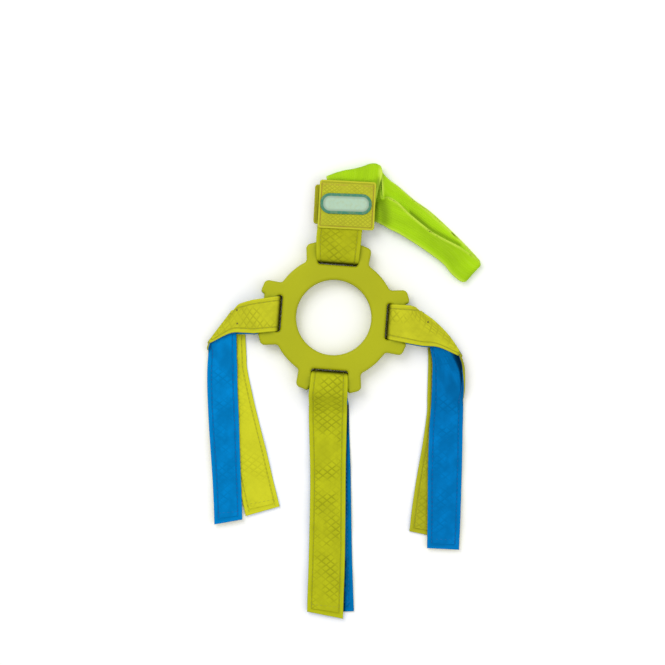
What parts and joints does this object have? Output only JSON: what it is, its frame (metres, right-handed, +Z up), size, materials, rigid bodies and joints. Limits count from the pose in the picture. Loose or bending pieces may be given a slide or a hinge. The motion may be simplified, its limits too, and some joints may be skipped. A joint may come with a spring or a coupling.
{
  "type": "tug toy with ring, straps and elastic handle",
  "caption": "Ring-and-strap tug toy: a rubber ring with three double cloth straps and a folded elastic handle on a sewn patch.",
  "frame": {"origin": "middle of the footprint, on the floor the toy lies on", "axes": "+Y from the tails towards the handle, +Z up out of the floor"},
  "size_m": [0.1892, 0.312, 0.0147],
  "materials": {
    "ring_rubber": "satin",
    "green_cloth": "matte",
    "blue_cloth": "matte",
    "elastic_webbing": "matte",
    "patch_cloth": "matte",
    "patch_backing": "matte",
    "label_film": "satin"
  },
  "bodies": {
    "ring": {"rubber_ring": "ring_rubber"},
    "west_strap": {"strap_west_face": "green_cloth", "strap_west_lining": "blue_cloth"},
    "west_back_tail": {"back_tail_west_face": "green_cloth", "back_tail_west_lining": "blue_cloth", "front_root_west_face": "green_cloth", "front_root_west_lining": "blue_cloth"},
    "west_front_tail": {"front_tail_west_face": "green_cloth", "front_tail_west_lining": "blue_cloth"},
    "east_strap": {"strap_east_face": "green_cloth", "strap_east_lining": "blue_cloth"},
    "east_back_tail": {"back_tail_east_face": "green_cloth", "back_tail_east_lining": "blue_cloth", "front_root_east_face": "green_cloth", "front_root_east_lining": "blue_cloth"},
    "east_front_tail": {"front_tail_east_face": "green_cloth", "front_tail_east_lining": "blue_cloth"},
    "south_strap": {"strap_south_face": "green_cloth", "strap_south_lining": "blue_cloth"},
    "south_back_tail": {"back_tail_south_face": "green_cloth", "back_tail_south_lining": "blue_cloth", "front_root_south_face": "green_cloth", "front_root_south_lining": "blue_cloth"},
    "south_front_tail": {"front_tail_south_face": "green_cloth", "front_tail_south_lining": "blue_cloth"},
    "tab": {"tab_strap_face": "green_cloth", "tab_strap_lining": "blue_cloth", "patch_front": "patch_cloth", "patch_back": "patch_backing", "patch_label": "label_film", "handle_front_panel": "elastic_webbing", "handle_back_panel": "elastic_webbing"},
    "handle": {"handle_front_run": "elastic_webbing", "handle_back_run": "elastic_webbing"},
    "handle_far_end": {"handle_end": "elastic_webbing"}
  },
  "joints": [
    {"name": "west_strap_swing", "type": "hinge", "parent": "ring", "child": "west_strap", "pos_m": [-0.05175, 0.0539, 0.00735], "axis": [0.075, 0.9972, 0], "range_deg": [-90, 90]},
    {"name": "west_back_tail_lift", "type": "hinge", "parent": "west_strap", "child": "west_back_tail", "pos_m": [-0.08287, 0.0236, 0.00365], "axis": [1, 0, 0], "range_deg": [-90, 0]},
    {"name": "west_front_tail_lift", "type": "hinge", "parent": "west_back_tail", "child": "west_front_tail", "pos_m": [-0.08287, 0.0156, 0.00365], "axis": [1, 0, 0], "range_deg": [-90, 0]},
    {"name": "east_strap_swing", "type": "hinge", "parent": "ring", "child": "east_strap", "pos_m": [0.03601, 0.0473, 0.00735], "axis": [-0.075, -0.9972, 0], "range_deg": [-90, 90]},
    {"name": "east_back_tail_lift", "type": "hinge", "parent": "east_strap", "child": "east_back_tail", "pos_m": [0.06913, -0.00639, 0.00365], "axis": [1, 0, 0], "range_deg": [-90, 0]},
    {"name": "east_front_tail_lift", "type": "hinge", "parent": "east_back_tail", "child": "east_front_tail", "pos_m": [0.06913, -0.01439, 0.00365], "axis": [1, 0, 0], "range_deg": [-90, 0]},
    {"name": "south_strap_swing", "type": "hinge", "parent": "ring", "child": "south_strap", "pos_m": [-0.01117, 0.00673, 0.00735], "axis": [-0.9972, 0.075, 0], "range_deg": [-90, 90]},
    {"name": "south_back_tail_lift", "type": "hinge", "parent": "south_strap", "child": "south_back_tail", "pos_m": [-0.01187, -0.0214, 0.00365], "axis": [1, 0, 0], "range_deg": [-90, 0]},
    {"name": "south_front_tail_lift", "type": "hinge", "parent": "south_back_tail", "child": "south_front_tail", "pos_m": [-0.01187, -0.02939, 0.00365], "axis": [1, 0, 0], "range_deg": [-75, 0]},
    {"name": "patch_strap_swing", "type": "hinge", "parent": "ring", "child": "tab", "pos_m": [-0.00457, 0.09448, 0.00735], "axis": [0.9972, -0.075, 0], "range_deg": [-90, 90]},
    {"name": "handle_fold", "type": "hinge", "parent": "tab", "child": "handle", "pos_m": [0.00662, 0.14698, 0.006], "axis": [0.9737, 0.2277, 0], "range_deg": [0, 180]},
    {"name": "handle_stretch", "type": "slide", "parent": "handle", "child": "handle_far_end", "axis": [0.7723, -0.6353, 0], "range_m": [0, 0.06], "stiffness_N_per_m": 600, "deforming": ["handle_front_run", "handle_back_run"]}
  ]
}
